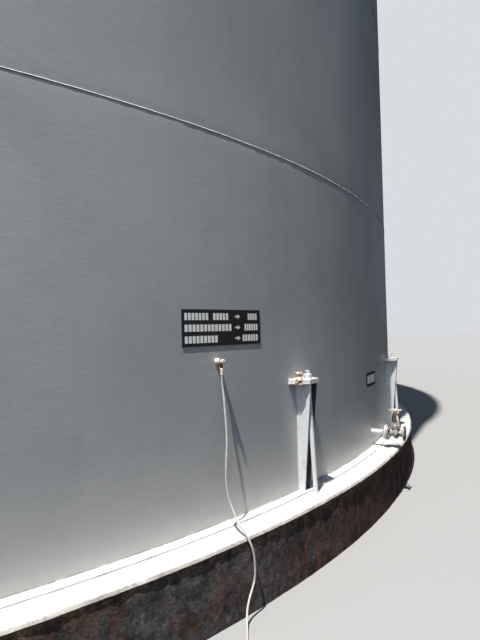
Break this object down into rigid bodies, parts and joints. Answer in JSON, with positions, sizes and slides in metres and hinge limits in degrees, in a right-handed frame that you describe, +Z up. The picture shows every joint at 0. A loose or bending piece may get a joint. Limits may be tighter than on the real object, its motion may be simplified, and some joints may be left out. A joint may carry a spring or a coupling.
{
  "type": "vertical storage tank",
  "caption": "Welded cylindrical storage tank with a shallow cone roof on a concrete foundation, held by anchor chairs, with a flanged drain valve, an earthing point and signs.",
  "frame": {"origin": "centre of the foundation's underside, at ground level on the tank's axis", "axes": "+Z up along the tank's axis; -Y points to the side that the camera stood on; bearings run from -Y towards +X"},
  "size_m": [16.858, 17.0101, 13.5316],
  "materials": {
    "concrete": "cast concrete, weathered and stained",
    "shell_paint": "grey gloss paint on steel plate, slightly dusty",
    "roof_paint": "grey paint, weathered",
    "chair_paint": "light grey paint",
    "rusty_steel": "rusty steel",
    "bare_steel": "bare steel",
    "cable_sheath": "grey sheath, matt",
    "sign_black": "black plate with pale marks",
    "valve_paint": "light paint on cast iron, chipped",
    "wheel_iron": "rusty cast iron"
  },
  "bodies": {
    "tank": {"foundation": "concrete", "bottom_plate": "shell_paint", "shell_course_1": "shell_paint", "shell_course_2": "shell_paint", "shell_course_3": "shell_paint", "shell_course_4": "shell_paint", "shell_course_5": "shell_paint", "curb_angle": "shell_paint", "roof": "roof_paint", "roof_vent": "roof_paint", "roof_hatch": "roof_paint", "anchor_chair_01": "chair_paint", "anchor_chair_02": "chair_paint", "anchor_chair_03": "chair_paint", "anchor_chair_04": "chair_paint", "anchor_chair_05": "chair_paint", "anchor_chair_06": "chair_paint", "anchor_chair_07": "chair_paint", "anchor_chair_08": "chair_paint", "anchor_chair_09": "chair_paint", "anchor_chair_10": "chair_paint", "anchor_chair_11": "chair_paint", "anchor_chair_12": "chair_paint", "anchor_chair_13": "chair_paint", "anchor_chair_14": "chair_paint", "anchor_chair_15": "chair_paint", "anchor_chair_16": "chair_paint", "anchor_chair_17": "chair_paint", "anchor_chair_18": "chair_paint", "anchor_chair_19": "chair_paint", "anchor_chair_20": "chair_paint", "edge_clamp": "rusty_steel", "earth_boss": "bare_steel", "earth_lug": "rusty_steel", "earth_cable": "cable_sheath", "end_lug": "bare_steel", "earth_sign": "sign_black", "drain_sign": "sign_black", "drain_nozzle": "valve_paint", "valve_body": "valve_paint", "valve_bonnet": "valve_paint"},
    "handwheel": {"handwheel": "wheel_iron"}
  },
  "joints": [
    {"name": "handwheel_turn", "type": "hinge", "parent": "tank", "child": "handwheel", "pos_m": [3.94128, -7.41942, 0.803], "axis": [0, 0, 1], "range_deg": [0, 2835]}
  ]
}
